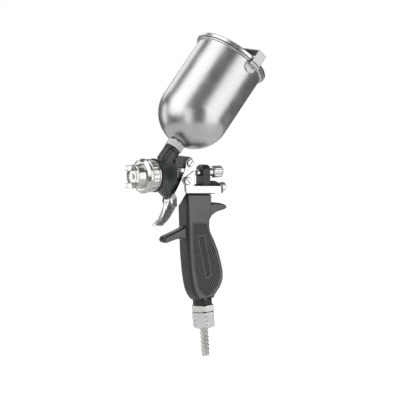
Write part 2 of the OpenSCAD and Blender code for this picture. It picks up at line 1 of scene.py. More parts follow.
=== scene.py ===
import bpy, bmesh
from math import cos, hypot, pi, radians, sin, sqrt
from mathutils import Matrix, Vector
from mathutils.geometry import delaunay_2d_cdt


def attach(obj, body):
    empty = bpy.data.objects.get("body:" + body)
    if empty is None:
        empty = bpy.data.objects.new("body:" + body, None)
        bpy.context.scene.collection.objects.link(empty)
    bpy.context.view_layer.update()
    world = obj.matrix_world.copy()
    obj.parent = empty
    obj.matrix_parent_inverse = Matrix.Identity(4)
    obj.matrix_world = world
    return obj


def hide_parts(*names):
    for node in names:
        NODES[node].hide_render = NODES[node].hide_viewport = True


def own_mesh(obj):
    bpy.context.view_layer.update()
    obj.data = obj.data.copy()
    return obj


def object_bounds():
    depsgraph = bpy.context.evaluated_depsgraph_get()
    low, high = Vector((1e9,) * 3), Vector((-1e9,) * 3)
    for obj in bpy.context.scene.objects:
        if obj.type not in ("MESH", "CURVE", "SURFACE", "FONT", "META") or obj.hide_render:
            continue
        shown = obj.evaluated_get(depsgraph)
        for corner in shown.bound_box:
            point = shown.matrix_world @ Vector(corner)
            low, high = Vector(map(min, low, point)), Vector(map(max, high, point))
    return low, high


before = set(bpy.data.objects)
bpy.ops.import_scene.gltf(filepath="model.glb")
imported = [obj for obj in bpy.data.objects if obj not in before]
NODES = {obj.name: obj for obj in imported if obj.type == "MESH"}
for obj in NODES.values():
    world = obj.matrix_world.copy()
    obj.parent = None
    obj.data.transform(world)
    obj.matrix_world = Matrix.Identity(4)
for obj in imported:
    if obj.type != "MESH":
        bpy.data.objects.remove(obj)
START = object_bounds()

MM = 0.001
scene = bpy.context.scene

# ---------------------------------------------------------------- camera: a long lens, from the front left
CAM_AT = (-1.9505, -2.7886, 0.3735)
CAM_WAY = (0.5709, 0.8154, -0.0958)

cam = bpy.data.objects.new("camera", bpy.data.cameras.new("camera"))
scene.collection.objects.link(cam)
cam.location = CAM_AT
cam.rotation_euler = Vector(CAM_WAY).to_track_quat("-Z", "Y").to_euler()
cam.data.lens = 270
cam.data.sensor_width = 36
cam.data.clip_end = 200
scene.camera = cam

# ---------------------------------------------------------------- frames, in mm
def at(x, y, z):
    return Matrix.Translation((x, y, z))

def ry(a):
    return Matrix.Rotation(radians(a), 4, "Y")

def rz(a):
    return Matrix.Rotation(radians(a), 4, "Z")

def rx(a):
    return Matrix.Rotation(radians(a), 4, "X")

NECK_OFF = 2.3                          # the neck stands this far off the cup's axis
CUP = at(-32.2, 0, 114.1) @ ry(40)      # at the bottom of the cup's ball, local z up its axis
NECK = CUP @ at(NECK_OFF, 0, 0)
INLET = at(5.1, 0, -70) @ ry(-4.3)      # at the foot of the grip
SPRAY = at(0, 0, 77.3) @ ry(90)         # local z runs along +x
VALVE = at(0, 0, 59.6) @ ry(90)
RIM = 116.1                             # height of the cup's rim along its axis
PIVOT = (-20.3, 89.9)                   # trigger pivot, x and z
LINK = (-25.3, 70.2)                    # link screws, x and z

def sideways(p, y, a=0):
    """a frame at p whose local z points to -y, out of the left side"""
    return at(p[0], y, p[1]) @ rx(90) @ rz(a)

def ease(t):
    """0 below 0, 1 above 1 and smooth between"""
    t = min(1.0, max(0.0, t))
    return t * t * (3 - 2 * t)

# ---------------------------------------------------------------- mesh tools
def round_off(pts, r, n=3):
    """a polyline with its corners rounded by up to r"""
    out = [Vector(pts[0])]
    for i in range(1, len(pts) - 1):
        p0, p, p1 = Vector(pts[i - 1]), Vector(pts[i]), Vector(pts[i + 1])
        a, b = p0 - p, p1 - p
        la, lb = a.length, b.length
        if la < 1e-6 or lb < 1e-6:
            continue
        a /= la
        b /= lb
        if a.dot(b) < -0.997:
            out.append(p)
            continue
        d = min(r, 0.45 * la, 0.45 * lb)
        s, e = p + a * d, p + b * d
        for k in range(n + 1):
            t = k / n
            out.append(s * (1 - t) ** 2 + p * 2 * t * (1 - t) + e * t * t)
    out.append(Vector(pts[-1]))
    return out

def fine(pts, step):
    """a polyline with no piece longer than step"""
    out = [Vector(pts[0])]
    for q in pts[1:]:
        q = Vector(q)
        n = max(1, int((q - out[-1]).length / step + 0.999))
        p = out[-1]
        out += [p + (q - p) * (k + 1) / n for k in range(n)]
    return out

def mesh_object(name, verts, faces, M):
    """a smooth object from a mesh in mm, placed by M, which is in mm too"""
    me = bpy.data.meshes.new(name)
    me.from_pydata([tuple(c * MM for c in v) for v in verts], [], faces)
    bm = bmesh.new()
    bm.from_mesh(me)
    bmesh.ops.recalc_face_normals(bm, faces=bm.faces)
    bm.to_mesh(me)
    bm.free()
    for p in me.polygons:
        p.use_smooth = True
    ob = bpy.data.objects.new(name, me)
    scene.collection.objects.link(ob)
    M = M.copy()
    M.translation *= MM
    ob.matrix_world = M
    return ob

def revolve(prof, seg=96, radius=None, shift=None, closed=False, start=0.0):
    """vertices and faces of a solid of revolution about z; prof is [(z, r)]"""
    verts, faces, rings = [], [], []
    for z, r in prof:
        if r < 1e-4:
            rings.append([len(verts)])
            verts.append((0, 0, z))
            continue
        ring = []
        for i in range(seg):
            t = start + 2 * pi * i / seg
            q = radius(z, r, t) if radius else r
            ox = shift(z, r) if shift else 0
            ring.append(len(verts))
            verts.append((q * cos(t) + ox, q * sin(t), z))
        rings.append(ring)
    pairs = list(zip(rings, rings[1:])) + ([(rings[-1], rings[0])] if closed else [])
    for a, b in pairs:
        if len(a) == 1 and len(b) == 1:
            continue
        for i in range(seg):
            j = (i + 1) % seg
            if len(a) == 1:
                faces.append((a[0], b[j], b[i]))
            elif len(b) == 1:
                faces.append((a[i], a[j], b[0]))
            else:
                faces.append((a[i], a[j], b[j], b[i]))
    return verts, faces

def joined(*parts):
    """several (verts, faces) as one"""
    verts, faces = [], []
    for v, f in parts:
        n = len(verts)
        verts += list(v)
        faces += [tuple(i + n for i in q) for q in f]
    return verts, faces

def bevelled(ob, width, segments, angle):
    """rounds ob's edges that are sharper than angle by width mm"""
    b = ob.modifiers.new("bevel", "BEVEL")
    b.width = width * MM
    b.segments = segments
    b.limit_method = "ANGLE"
    b.angle_limit = radians(angle)

def settle(ob, body, mat, replaces=(), weighted=True):
    """gives ob its material and body, and hides the CAD nodes that it stands for"""
    ob.data.materials.clear()
    ob.data.materials.append(mat)
    if weighted:
        m = ob.modifiers.new("normals", "WEIGHTED_NORMAL")
        m.keep_sharp = False
        m.weight = 90
    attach(ob, body)
    if replaces:
        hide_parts(*replaces)

def cut(ob, cutters):
    """takes closed shapes, given as (verts, faces) in ob's own frame, out of ob"""
    tool = mesh_object("cutter", *joined(*cutters), Matrix.Identity(4))
    tool.matrix_world = ob.matrix_world
    m = ob.modifiers.new("cut", "BOOLEAN")
    m.operation = "DIFFERENCE"
    m.solver = "EXACT"
    m.object = tool
    bpy.context.view_layer.update()
    dg = bpy.context.evaluated_depsgraph_get()
    me = bpy.data.meshes.new_from_object(ob.evaluated_get(dg))
    ob.modifiers.clear()
    old = ob.data
    ob.data = me
    bpy.data.meshes.remove(old)
    bpy.data.objects.remove(tool)

def bar(x0, x1, y0, y1, z0, z1):
    """a box between two values on each axis"""
    v = [(x, y, z) for x in (x0, x1) for y in (y0, y1) for z in (z0, z1)]
    f = [(0, 1, 3, 2), (4, 6, 7, 5), (0, 4, 5, 1), (2, 3, 7, 6), (0, 2, 6, 4), (1, 5, 7, 3)]
    return v, f

def moved(shape, M):
    return [tuple(M @ Vector(v)) for v in shape[0]], shape[1]

def hexagon(corner, turn=0.0, soft=0.35):
    """limits r to a hexagon whose corners are clipped a little"""
    flat = corner * cos(pi / 6)
    def radius(z, r, t):
        u = (t - radians(turn)) % (pi / 3) - pi / 6
        return min(r, flat / cos(u), corner - soft * 0.4)
    return radius

def prism(pts, y0, y1):
    """a slab with a side outline [(x, z)] between two values of y"""
    n = len(pts)
    v = [(p[0], y0, p[1]) for p in pts] + [(p[0], y1, p[1]) for p in pts]
    f = [tuple(range(n)), tuple(range(2 * n - 1, n - 1, -1))]
    f += [(i, i + n, (i + 1) % n + n, (i + 1) % n) for i in range(n)]
    return v, f

# ---------------------------------------------------------------- materials
class Mat:
    """a node material: each method adds a node and gives back its output"""
    def __init__(self, name, color, rough, metallic=0.0):
        self.m = bpy.data.materials.new(name)
        self.m.use_nodes = True
        self.nt = self.m.node_tree
        self.b = self.nt.nodes["Principled BSDF"]
        self.b.inputs["Metallic"].default_value = metallic
        self.b.inputs["Roughness"].default_value = rough
        self.b.inputs["Base Color"].default_value = (*color, 1)
        self.at = self.add("ShaderNodeTexCoord").outputs["Object"]

    def add(self, kind, **kw):
        n = self.nt.nodes.new(kind)
        for k, v in kw.items():
            setattr(n, k, v)
        return n

    def link(self, a, b):
        self.nt.links.new(a, b)

    def math(self, op, a, b=None, c=None):
        n = self.add("ShaderNodeMath", operation=op)
        for i, v in enumerate((a, b, c)):
            if v is None:
                continue
            if isinstance(v, (int, float)):
                n.inputs[i].default_value = v
            else:
                self.link(v, n.inputs[i])
        return n.outputs[0]

    def scaled(self, v, sx, sy, sz, rot=(0, 0, 0)):
        n = self.add("ShaderNodeMapping")
        self.link(v, n.inputs["Vector"])
        n.inputs["Rotation"].default_value = rot
        n.inputs["Scale"].default_value = (sx, sy, sz)
        return n.outputs[0]

    def turned(self, k, a=3.0):
        """coordinates that change fast along and out from the local z axis, and slowly around it"""
        s = self.add("ShaderNodeSeparateXYZ")
        self.link(self.at, s.inputs[0])
        x, y, z = s.outputs
        r = self.math("SQRT", self.math("ADD", self.math("MULTIPLY", x, x), self.math("MULTIPLY", y, y)))
        around = self.math("ABSOLUTE", self.math("ARCTAN2", y, x))
        c = self.add("ShaderNodeCombineXYZ")
        self.link(self.math("MULTIPLY", r, k), c.inputs[0])
        self.link(self.math("MULTIPLY", z, k), c.inputs[1])
        self.link(self.math("MULTIPLY", around, a), c.inputs[2])
        return c.outputs[0]

    def noise(self, v, scale, detail=3.0, rough=0.5):
        n = self.add("ShaderNodeTexNoise")
        self.link(v, n.inputs["Vector"])
        n.inputs["Scale"].default_value = scale
        n.inputs["Detail"].default_value = detail
        n.inputs["Roughness"].default_value = rough
        return n.outputs["Fac"]

    def span(self, v, a, b, lo, hi):
        n = self.add("ShaderNodeMapRange")
        self.link(v, n.inputs["Value"])
        n.inputs["From Min"].default_value = a
        n.inputs["From Max"].default_value = b
        n.inputs["To Min"].default_value = lo
        n.inputs["To Max"].default_value = hi
        return n.outputs[0]

    def mix(self, fac, a, b):
        n = self.add("ShaderNodeMix", data_type="RGBA")
        self.link(fac, n.inputs[0])
        for i, v in ((6, a), (7, b)):
            if isinstance(v, tuple):
                n.inputs[i].default_value = (*v, 1)
            else:
                self.link(v, n.inputs[i])
        return n.outputs[2]

    def bump(self, h, strength, dist, before=None):
        n = self.add("ShaderNodeBump")
        n.inputs["Strength"].default_value = strength
        n.inputs["Distance"].default_value = dist
        self.link(h, n.inputs["Height"])
        if before is not None:
            self.link(before, n.inputs["Normal"])
        return n.outputs[0]

    def put(self, **kw):
        """links the surface's inputs and gives back the finished material"""
        for k, v in kw.items():
            self.link(v, self.b.inputs[k.replace("_", " ")])
        return self.m

def metal(name, dark, light, rough, spread=0.06, streak=900, around=3.0, lines=0.05, turned=True,
          aniso=0.0, stretch=(1, 1, 1)):
    """bare or plated metal with tool marks, faint smudges and a painted sheen: base colour lighter on sharp
    edges, so they shine a little more
    """
    m = Mat(name, light, rough, 1.0)
    v = m.turned(streak, around) if turned else m.scaled(m.at, *(streak * s for s in stretch))
    grain = m.noise(v, 1.0, 4, 0.6)
    smudge = m.noise(m.at, 55, 3, 0.55)
    spots = m.noise(m.at, 320, 2, 0.5)
    tone = m.math("ADD", m.math("MULTIPLY", grain, 0.6), m.math("MULTIPLY", smudge, 0.4))
    col = m.mix(m.span(tone, 0.36, 0.64, 0, 1), dark, light)
    # painted sheen: lighter base colour on sharp edges, found by pointiness
    paler_edges_and_tips = m.span(m.add("ShaderNodeNewGeometry").outputs["Pointiness"], 0.5, 0.56, 0, 0.5)
    col = m.mix(paler_edges_and_tips, col, tuple(min(1, c * 1.1) for c in light))
    r = m.math("ADD", m.span(grain, 0.3, 0.7, rough - spread, rough + spread),
               m.math("ADD", m.span(smudge, 0.35, 0.7, -0.03, 0.05), m.span(spots, 0.55, 0.8, 0, 0.05)))
    if aniso:
        m.b.inputs["Anisotropic"].default_value = aniso
        t = m.add("ShaderNodeTangent", direction_type="RADIAL", axis="Z")
        m.link(t.outputs[0], m.b.inputs["Tangent"])
    return m.put(Base_Color=col, Roughness=r, Normal=m.bump(grain, lines, 0.0002))

def coated(name, dark, light, rough, grain, lines, patches, coat=0.0, wear=None, edge=0.545):
    """paint, enamel or moulded plastic: fine grain, soft tone patches and rubbed edges"""
    m = Mat(name, light, rough)
    fine_n = m.noise(m.at, grain, 3, 0.6)
    soft = m.noise(m.at, patches, 4, 0.6)
    col = m.mix(m.span(soft, 0.35, 0.68, 0, 1), dark, light)
    specks = m.span(m.noise(m.at, grain * 0.6, 2, 0.5), 0.6, 0.75, 0, 0.35)
    col = m.mix(specks, col, tuple(c * 1.5 for c in light))
    if wear:
        p = m.add("ShaderNodeNewGeometry").outputs["Pointiness"]
        rubbed = m.span(p, 0.51, edge, 0, 1)
        w = m.math("MULTIPLY", rubbed, m.span(m.noise(m.at, 160, 4, 0.65), 0.42, 0.6, 0.1, 1))
        col = m.mix(w, col, wear)
    r = m.math("ADD", m.span(soft, 0.3, 0.7, rough - 0.06, rough + 0.08),
               m.span(fine_n, 0.3, 0.7, -0.04, 0.04))
    if coat:
        m.b.inputs["Coat Weight"].default_value = coat
        m.b.inputs["Coat Roughness"].default_value = 0.22
    big = m.bump(soft, 0.05, 0.001)
    return m.put(Base_Color=col, Roughness=r, Normal=m.bump(fine_n, lines, 0.0003, big))

M_CUP = metal("cup_brushed", (0.60, 0.605, 0.61), (0.72, 0.725, 0.73), 0.31, 0.02, 900, 2.0, 0.012)
M_NUT = metal("nut_satin", (0.62, 0.62, 0.61), (0.78, 0.78, 0.77), 0.42, 0.04, 900, 2.0, 0.05)
M_RIM = metal("lid_brushed", (0.62, 0.625, 0.63), (0.82, 0.82, 0.82), 0.26, 0.05, 900, 2.0, 0.05, aniso=0.4)
M_NICKEL = metal("turned_nickel", (0.55, 0.54, 0.515), (0.83, 0.82, 0.79), 0.18, 0.04, 1400, 3.0, 0.025)
M_STEEL = metal("fitting_steel", (0.72, 0.71, 0.69), (0.9, 0.89, 0.87), 0.18, 0.03, 1200, 3.0, 0.012)
M_CHROME = metal("turned_chrome", (0.66, 0.67, 0.68), (0.9, 0.9, 0.9), 0.13, 0.04, 1500, 3.0, 0.03)
M_SHEET = metal("sheet_chrome", (0.6, 0.61, 0.62), (0.88, 0.88, 0.88), 0.17, 0.03, 300, lines=0.006,
                turned=False, stretch=(0.4, 3, 3))
M_SPRING = metal("spring_wire", (0.3, 0.3, 0.31), (0.55, 0.55, 0.56), 0.28, 0.05, 600, turned=False)
M_HEAD = coated("head_enamel", (0.028, 0.036, 0.035), (0.07, 0.082, 0.079), 0.34, 1500, 0.12, 70, 0.35,
                (0.3, 0.31, 0.3))
M_BLACK = coated("black_satin", (0.016, 0.018, 0.018), (0.035, 0.037, 0.037), 0.36, 1500, 0.1, 60, 0.2,
                 (0.16, 0.16, 0.16))

def grip_painted_side_light():
    """glossy dark moulding whose two flat sides are matt and painted paler: painted light on the flat sides,
    painted shade on the faces between them
    """
    m = Mat("grip_coat_painted_light", (0.1, 0.1, 0.1), 0.4)
    way = m.add("ShaderNodeSeparateXYZ")
    m.link(m.add("ShaderNodeTexCoord").outputs["Normal"], way.inputs[0])
    # mask of the two flat sides, picked by the way the surface faces
    lit_side_mask = m.span(m.math("ABSOLUTE", way.outputs[1]), 0.9, 0.975, 0, 1)
    soft = m.noise(m.at, 45, 4, 0.6)
    grit = m.noise(m.at, 2300, 3, 0.6)
    shade = m.span(soft, 0.35, 0.68, 0, 1)
    # painted shade: dark for the front, back and rounded faces; painted light: pale for the flat sides; the
    # noise only varies the tone
    dark = m.mix(shade, (0.036, 0.039, 0.038), (0.055, 0.059, 0.058))
    pale = m.mix(shade, (0.19, 0.193, 0.193), (0.225, 0.228, 0.228))
    point = m.add("ShaderNodeNewGeometry").outputs["Pointiness"]
    rubbed = m.math("MULTIPLY", m.span(point, 0.51, 0.54, 0, 1),
                    m.span(m.noise(m.at, 160, 4, 0.65), 0.42, 0.6, 0.1, 0.8))
    col = m.mix(rubbed, m.mix(lit_side_mask, dark, pale), (0.22, 0.22, 0.22))
    r = m.math("ADD", m.span(lit_side_mask, 0, 1, 0.34, 0.56), m.span(grit, 0.3, 0.7, -0.04, 0.04))
    big = m.bump(soft, 0.05, 0.001)
    return m.put(Base_Color=col, Roughness=r, Normal=m.bump(grit, 0.15, 0.0003, big))

def relief():
    """moulded rubber-like panel whose raised lines and tips are coloured paler than its hollows"""
    m = Mat("grip_panel", (0.07, 0.072, 0.072), 0.55)
    xyz = m.add("ShaderNodeSeparateXYZ")
    m.link(m.at, xyz.inputs[0])
    high = m.span(m.math("ABSOLUTE", xyz.outputs[1]), 0.01062, 0.0109, 0, 1)
    soft = m.noise(m.at, 60, 4, 0.6)
    grit = m.noise(m.at, 2600, 3, 0.6)
    # colour by height: paler on the raised lines and tips, near black in the hollows
    paler_edges_and_tips = m.math("MULTIPLY", high, m.span(soft, 0.3, 0.7, 0.7, 1.0))
    col = m.mix(paler_edges_and_tips, (0.02, 0.021, 0.021), (0.24, 0.243, 0.24))
    r = m.math("ADD", m.span(high, 0, 1, 0.66, 0.46), m.span(grit, 0.3, 0.7, -0.05, 0.05))
    return m.put(Base_Color=col, Roughness=r, Normal=m.bump(grit, 0.2, 0.0003))

M_GRIP = grip_painted_side_light()
M_PANEL = relief()
M_RUBBER = coated("seal_rubber", (0.012, 0.012, 0.012), (0.03, 0.03, 0.03), 0.62, 1800, 0.15, 60)
M_FILTER = coated("filter_plastic", (0.5, 0.5, 0.46), (0.62, 0.62, 0.58), 0.45, 900, 0.08, 60)

# ---------------------------------------------------------------- carried-over CAD nodes
def keep(node, mat, voxel=0.0, smooth=0):
    """a CAD node shown with its own material; voxel (mm) rounds its edges by remeshing and relaxing"""
    ob = NODES[node]
    ob.data.materials.clear()
    ob.data.materials.append(mat)
    w = ob.modifiers.new("weld", "WELD")
    w.merge_threshold = 2e-6
    if voxel:
        r = ob.modifiers.new("remesh", "REMESH")
        r.mode = "VOXEL"
        r.voxel_size = voxel * MM
        r.use_smooth_shade = True
        s = ob.modifiers.new("relax", "SMOOTH")
        s.factor = 0.5
        s.iterations = smooth
    else:
        bevelled(ob, 0.12, 2, 35)

keep("gun_head", M_HEAD, 0.45, 8)
keep("control_block", M_BLACK, 0.3, 4)
keep("yoke", M_SHEET, 0.28, 4)
keep("handle", M_GRIP, 0.5, 12)
keep("lid_strap", M_NUT, 0.25, 3)
keep("hinge_leaf", M_NUT, 0.25, 3)
keep("paint_filter", M_FILTER)
for mat, names in ((M_CHROME, ("hinge_pin", "needle", "valve_stem")),
                   (M_STEEL, ("needle_collar", "valve_seat", "baffle_ring", "cup_outlet", "air_tube")),
                   (M_SPRING, ("needle_spring", "valve_spring")),
                   (M_RUBBER, ("valve_disc", "lid_gasket", "inlet_seal"))):
    for n in names:
        keep(n, mat)
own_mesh(NODES["needle_spring"])
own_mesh(NODES["valve_spring"])

# ---------------------------------------------------------------- cup and lid
BORE = 6.5                              # radius of the hole in the cup's bottom
R, W = 41.3, 1.4                        # the cup's radius and wall

def neck_shift(z, r):
    """moves the bottom of the ball sideways, so that its hole meets the neck"""
    return NECK_OFF * (1 - ease((r - BORE) / 14)) if z < 14 else 0.0

def bowl(r, start, n):
    """a quarter arc of radius r about the ball's centre, from start degrees off the axis"""
    angles = [radians(start + (90 - start) * i / n) for i in range(n + 1)]
    return [(R - r * cos(a), r * sin(a)) for a in angles]

ball = bowl(R, 9.05, 48)
inner = bowl(R - W, 9.38, 40)
lip = round_off([(RIM - 1.0, R), (RIM, R + 0.2), (RIM, R + 1.6), (RIM + 0.6, R + 2.1), (RIM + 1.8, R + 2.1),
                 (RIM + 2.3, R + 1.6), (RIM + 2.3, R - W)], 0.35)
side_out = [(R + (RIM - R - 1.2) * i / 24, R) for i in range(1, 25)]
side_in = [(RIM + 1 - (RIM + 1 - R) * i / 20, R - W) for i in range(20)]
wall = ball + side_out + [tuple(p) for p in lip] + side_in + inner[::-1]
cup = mesh_object("cup_body", *revolve(wall, 192, shift=neck_shift, closed=True), CUP)
settle(cup, "gun", M_CUP, ["cup_shell"])

LR = 44.6                               # the lid's radius
lid_prof = round_off([(RIM + 15.1, 0), (RIM + 15.1, 17), (RIM + 14.5, 19), (RIM + 11.3, 28), (RIM + 8.5, 36),
                      (RIM + 7, 40.6), (RIM + 6.9, LR - 0.8), (RIM + 6.1, LR), (RIM + 2.4, LR),
                      (RIM + 2.4, LR - 1), (RIM + 5.6, LR - 1.1), (RIM + 5.7, 40.4), (RIM + 7.2, 35.6),
                      (RIM + 10, 27.6), (RIM + 13.2, 18.8), (RIM + 13.9, 16.8), (RIM + 13.9, 0)], 0.7, 4)
lid = mesh_object("lid_shell", *revolve(lid_prof, 192), CUP)
settle(lid, "lid", M_RIM, ["cup_lid"])

plug_prof = round_off([(0, 0), (0, 3.2), (1.6, 3.2), (2.4, 2.4), (2.4, 0.9), (1.6, 0.6), (1.6, 0)], 0.35)
plug = mesh_object("vent_button", *revolve(plug_prof, 48), CUP @ at(0, 0, RIM + 15.1))
settle(plug, "lid", M_RUBBER, ["vent_plug"])

nut_prof = fine(round_off([(-8.3, 6.55), (-8.3, 9.9), (-7.5, 11), (-1.4, 11), (-0.6, 9.9), (-0.6, 6.55)],
                          0.2), 0.4)
nut = mesh_object("cup_coupling", *revolve(nut_prof, 144, radius=hexagon(10.8, 12), closed=True,
                                           start=radians(12)), NECK)
settle(nut, "cup_nut", M_NUT, ["cup_nut"])

collar_prof = round_off([(-12.95, 6.6), (-12.95, 8), (-12.6, 9.2), (-12.3, 9.5), (-8.9, 9.5), (-8.4, 9.1),
                         (-8.4, 6.6)], 0.3)
collar = mesh_object("neck_ring", *revolve(collar_prof, 96, closed=True), NECK)
settle(collar, "gun", M_BLACK, ["inlet_collar"])

# ---------------------------------------------------------------- spray end
def scallops(count, centre, rad, z0, z1):
    """r limited by round grooves cut along the axis"""
    def radius(z, r, t):
        if not z0 < z < z1:
            return r
        u = (t + pi / count) % (2 * pi / count) - pi / count
        s = centre * sin(u)
        if abs(s) >= rad:
            return r
        return min(r, centre * cos(u) - sqrt(rad * rad - s * s))
    return radius

ring_prof = fine(round_off([(-79.95, 14.15), (-80, 16.4), (-77.6, 19.8), (-75.6, 19.8), (-74.6, 18.2),
                            (-73.6, 18.2), (-73, 18.9), (-65.4, 18.5), (-64.6, 17.9), (-62.5, 17.9),
                            (-62.5, 15.5), (-78.0, 15.5), (-78.05, 14.15)], 0.25), 0.35)
flutes = scallops(18, 20.6, 2.4, -72.6, -66.2)
ring = mesh_object("cap_ring", *revolve(ring_prof, 288, radius=flutes, closed=True), SPRAY)
settle(ring, "ring", M_NICKEL, ["retaining_ring"])

face = -90.0                            # the cap's front face
cap_prof = round_off([(-86.5, 3.1), (face, 3.1), (face, 7.4), (face + 3.2, 7.4), (face + 3.2, 12.2),
                      (face, 12.2), (face, 13.1), (face + 0.6, 13.7), (-81.2, 13.9), (-79.2, 14.1),
                      (-78, 14.1), (-78, 15.4), (-76, 15.4), (-76, 12.6), (-84, 12), (-86.5, 8)], 0.2)
horns = []
for s in (1, -1):
    half = [(face + 4, 6.4), (face + 4, 12.9), (face - 2, 12.9), (face - 8.2, 12.7), (face - 9, 12.0),
            (face - 9, 7.6), (face - 8.4, 6.9), (face - 1, 6.4)]
    v, f = prism([(x, s * z) for x, z in half], -3.4, 3.4)
    horns.append(([(-z, y, x) for x, y, z in v], f))
cap = mesh_object("air_cap_body", *revolve(cap_prof, 144, closed=True), SPRAY)
# the groove round the middle is shallower on one side than on the other
for q in cap.data.vertices:
    away, deep = hypot(q.co.x, q.co.y) / MM, q.co.z / MM - face
    if 7.2 < away < 12.4 and 0 < deep < 3.4:
        turn = q.co.y / MM / away
        q.co.z = (face + deep * min(1.0, max(0.12, 0.55 + turn))) * MM
settle(cap, "air_cap", M_NICKEL, ["air_cap"])
horn = mesh_object("air_horns", *joined(*horns), SPRAY)
cut(horn, [bar(a, a + 8, b, b + 2.4, face - 3.4, face - 0.4) for a in (6, -14) for b in (-4.2, 1.8)])
# painted shade: a dark ring behind the cap ring, for the shadowed gap between ring and head
gap_shade_prof = round_off([(-62.45, 15.6), (-62.45, 18.6), (-62.1, 19.1), (-60.9, 19.1), (-60.6, 15.6)], 0.25)
gap_shade = mesh_object("ring_gap_shade", *revolve(gap_shade_prof, 144, closed=True), SPRAY)
settle(gap_shade, "gun", M_RUBBER)
bevelled(horn, 0.7, 4, 30)
settle(horn, "air_cap", M_NICKEL)

tip_prof = round_off([(-90.2, 0.95), (-91, 0.95), (-91, 2.6), (-86.2, 2.9), (-84, 5.2), (-74, 5.8),
                      (-74, 7.6), (-69.5, 7.6), (-69.5, 8), (-57, 8), (-57, 2.1), (-88, 2.1)], 0.2)
tip = mesh_object("fluid_tip", *revolve(tip_prof, 72, closed=True), SPRAY)
settle(tip, "gun", M_NICKEL, ["fluid_nozzle"])

def ribs(count, depth, z0, z1):
    """r with ribs added along the axis"""
    def radius(z, r, t):
        return r + (depth * (0.5 + 0.5 * cos(count * t)) if z0 < z < z1 else 0)
    return radius

gland_prof = fine(round_off([(-36, 1.5), (-36, 6.0), (-35.4, 6.4), (-30.2, 6.4), (-29.6, 6.0),
                             (-29.6, 1.5)], 0.3), 0.3)
gland = mesh_object("packing_gland", *revolve(gland_prof, 160, radius=ribs(16, 0.75, -35.4, -30.2),
                                              closed=True), SPRAY)
settle(gland, "gun", M_STEEL, ["packing_nut"])

# ---------------------------------------------------------------- needle and valve line
def turned_part(name, prof, M, body, mat, node, r=0.25, seg=96, radius=None, closed=True, step=0.4):
    """a lathe part that stands for one CAD node; r rounds its corners"""
    ob = mesh_object(name, *revolve(fine(round_off(prof, r), step), seg, radius=radius, closed=closed), M)
    settle(ob, body, mat, [node])

turned_part("needle_bushing", [(-4.8, 1.46), (-4.8, 1.8), (-4.3, 2.8), (-3.3, 3.5), (-1.8, 3.8), (6, 3.8),
                               (6, 1.46)], SPRAY, "gun", M_CHROME, "needle_guide")
turned_part("spring_housing", [(11.2, 3.3), (11.2, 5.6), (13.2, 5.6), (13.2, 4.8), (21, 4.8), (21, 1.46),
                               (20.6, 1.46), (20.6, 3.3)], SPRAY, "gun", M_CHROME, "spring_cap")
turned_part("needle_knob_body", [(28.4, 0), (28.4, 3.3), (21.3, 3.3), (21.3, 4.85), (17.6, 4.85), (17.6, 6.2),
                                 (18.4, 6.8), (29.4, 6.8), (30.4, 6.1), (30.4, 0)],
            SPRAY, "needle_knob", M_CHROME, "needle_knob",
            0.25, 240, scallops(12, 7.4, 1.1, 19.6, 28.6), False, 0.3)
turned_part("valve_knob_body", [(34.5, 0), (34.5, 1.85), (28.5, 1.85), (28.5, 4.6), (29.2, 5.2), (34.6, 5.2),
                                (35.6, 4.3), (35.6, 0)],
            VALVE, "valve_knob", M_CHROME, "valve_knob",
            0.2, 240, scallops(10, 5.7, 0.8, 30, 35.5), False, 0.3)
turned_part("valve_housing", [(11.2, 5.5), (11.2, 6.6), (12.4, 7.6), (21, 7.6), (25.6, 6), (25.6, 1.85),
                              (22, 1.85), (22, 5.5)], VALVE, "gun", M_BLACK, "valve_bush",
            0.3, 192, scallops(6, 9.2, 2.2, 19, 26), True, 0.3)

# ---------------------------------------------------------------- slotted screws and pivot nut
HEAD_H = 1.7                            # height of a screw's head

def screw(name, M, head_r, shaft_r, depth, turn, body, node):
    """a slotted screw with a dark ring under its head as painted shadow of the gap round it, and a dark bar
    as painted shade in its slot
    """
    prof = round_off([(-depth, 0), (-depth, shaft_r), (0, shaft_r), (0, head_r), (HEAD_H - 0.45, head_r),
                      (HEAD_H, head_r - 0.5), (HEAD_H, 0)], 0.3)
    ob = mesh_object(name, *revolve(fine(prof, 0.5), 72), M)
    slot = bar(-head_r - 1, head_r + 1, -0.5, 0.5, HEAD_H - 0.9, HEAD_H + 1)
    cut(ob, [moved(slot, rz(turn))])
    bevelled(ob, 0.1, 2, 50)
    # painted shadow: a dark ring round the foot of the head, where the gap round the screw lies in shade
    shadow_ring_prof = round_off([(0.02, head_r - 0.8), (0.02, head_r + 0.55), (0.4, head_r + 0.55),
                             (0.4, head_r - 0.8)], 0.1)
    shadow_ring = mesh_object(name + "_shadow_ring", *revolve(shadow_ring_prof, 64, closed=True), M)
    settle(shadow_ring, body, M_RUBBER)
    # painted shade: a dark bar in the bottom of the slot
    slot_shade_box = bar(-head_r + 0.3, head_r - 0.3, -0.46, 0.46, HEAD_H - 1.1, HEAD_H - 0.5)
    line = mesh_object(name + "_slot_shade", *moved(slot_shade_box, rz(turn)), M)
    settle(line, body, M_RUBBER)
    settle(ob, body, M_CHROME, [node])

screw("link_screw_l", sideways(LINK, -14.4), 4.3, 1.55, 3.5, -50, "yoke", "link_screw_left")
screw("link_screw_r", at(LINK[0], 14.4, LINK[1]) @ rx(-90), 4.3, 1.55, 3.5, 20, "yoke", "link_screw_right")
screw("pivot_screw", sideways(PIVOT, -12.5), 4.0, 2.5, 26.2, 50, "gun", "pivot_pin")
turned_part("pivot_hex", [(0, 2.5), (0, 4.0), (0.3, 4.5), (1.8, 4.5), (2.2, 4.0), (2.2, 2.5)],
            at(PIVOT[0], 12.5, PIVOT[1]) @ rx(-90), "gun", M_STEEL, "pivot_nut",
            0.1, 96, hexagon(4.4, 0), True, 0.25)

